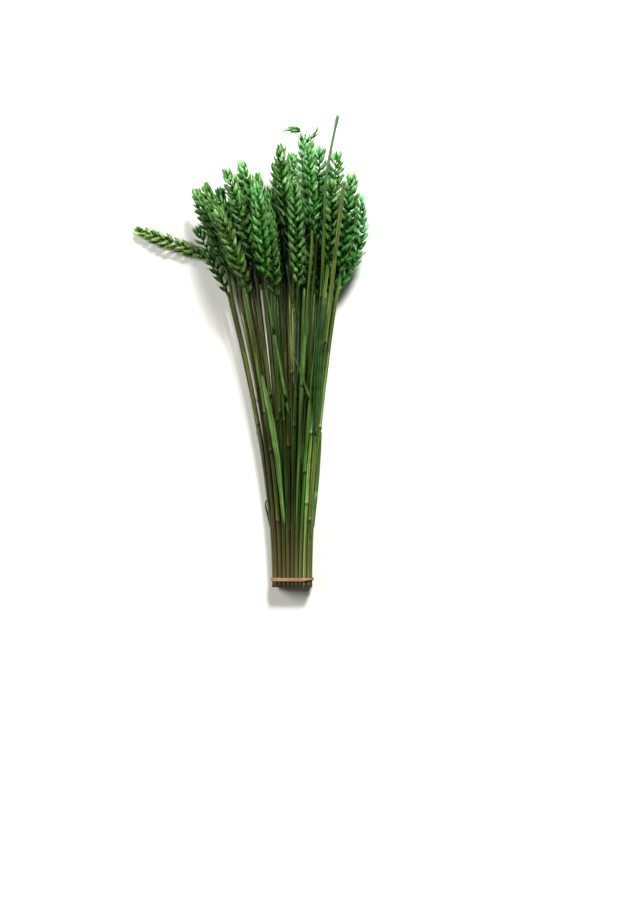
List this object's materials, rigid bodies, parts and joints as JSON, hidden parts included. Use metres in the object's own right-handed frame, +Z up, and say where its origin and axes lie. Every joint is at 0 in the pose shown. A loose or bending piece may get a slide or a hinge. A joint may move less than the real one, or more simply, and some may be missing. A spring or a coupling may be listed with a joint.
{
  "type": "bundle of dried wheat",
  "caption": "Green-dyed dried wheat stalks with full ears, held by a rubber band near the cut ends and fanned out where they lie.",
  "frame": {"origin": "middle of the bundle's box, on the surface that it lies on", "axes": "+X across the fan, +Y from the cut ends to the ears, +Z up from the surface that it lies on"},
  "size_m": [0.2364, 0.4724, 0.071],
  "materials": {
    "dyed_wheat": "dry, faintly silky, green dye over straw",
    "dyed_straw": "smooth dry straw, green dye",
    "band": "matt"
  },
  "bodies": {
    "root": {"stalk_back_1": "dyed_wheat", "stalk_back_2": "dyed_wheat", "stalk_back_3": "dyed_wheat", "stalk_back_4": "dyed_wheat", "stalk_back_5": "dyed_wheat", "stalk_back_6": "dyed_wheat", "stalk_back_7": "dyed_wheat", "stalk_back_8": "dyed_wheat", "stalk_back_9": "dyed_wheat", "stalk_back_10": "dyed_wheat", "stalk_back_11": "dyed_wheat", "stalk_back_12": "dyed_wheat", "stalk_back_13": "dyed_wheat", "stalk_back_14": "dyed_wheat", "stalk_back_15": "dyed_wheat", "stalk_back_16": "dyed_wheat", "stalk_left_1": "dyed_wheat", "stalk_left_2": "dyed_wheat", "stalk_left_3": "dyed_wheat", "stalk_mid_1": "dyed_wheat", "stalk_mid_2": "dyed_wheat", "stalk_mid_3": "dyed_wheat", "stalk_right_1": "dyed_wheat", "stalk_right_2": "dyed_wheat", "stalk_drooping": "dyed_wheat", "stalk_left_4": "dyed_wheat", "stalk_left_5": "dyed_wheat", "stalk_left_6": "dyed_wheat", "stalk_mid_4": "dyed_wheat", "stalk_mid_5": "dyed_wheat", "stalk_mid_6": "dyed_wheat", "stalk_right_3": "dyed_wheat", "stalk_right_4": "dyed_wheat", "stalk_front_1": "dyed_wheat", "stalk_front_2": "dyed_wheat", "stem_bare_long": "dyed_straw", "stem_bare_thick": "dyed_straw", "stem_short_1": "dyed_straw", "stem_short_2": "dyed_straw", "stem_short_3": "dyed_straw", "stem_short_4": "dyed_straw", "stem_short_5": "dyed_straw", "stem_short_6": "dyed_straw", "stem_short_7": "dyed_straw", "stem_short_8": "dyed_straw", "stem_short_9": "dyed_straw", "stem_short_10": "dyed_straw", "rubber_band": "band"}
  },
  "joints": []
}
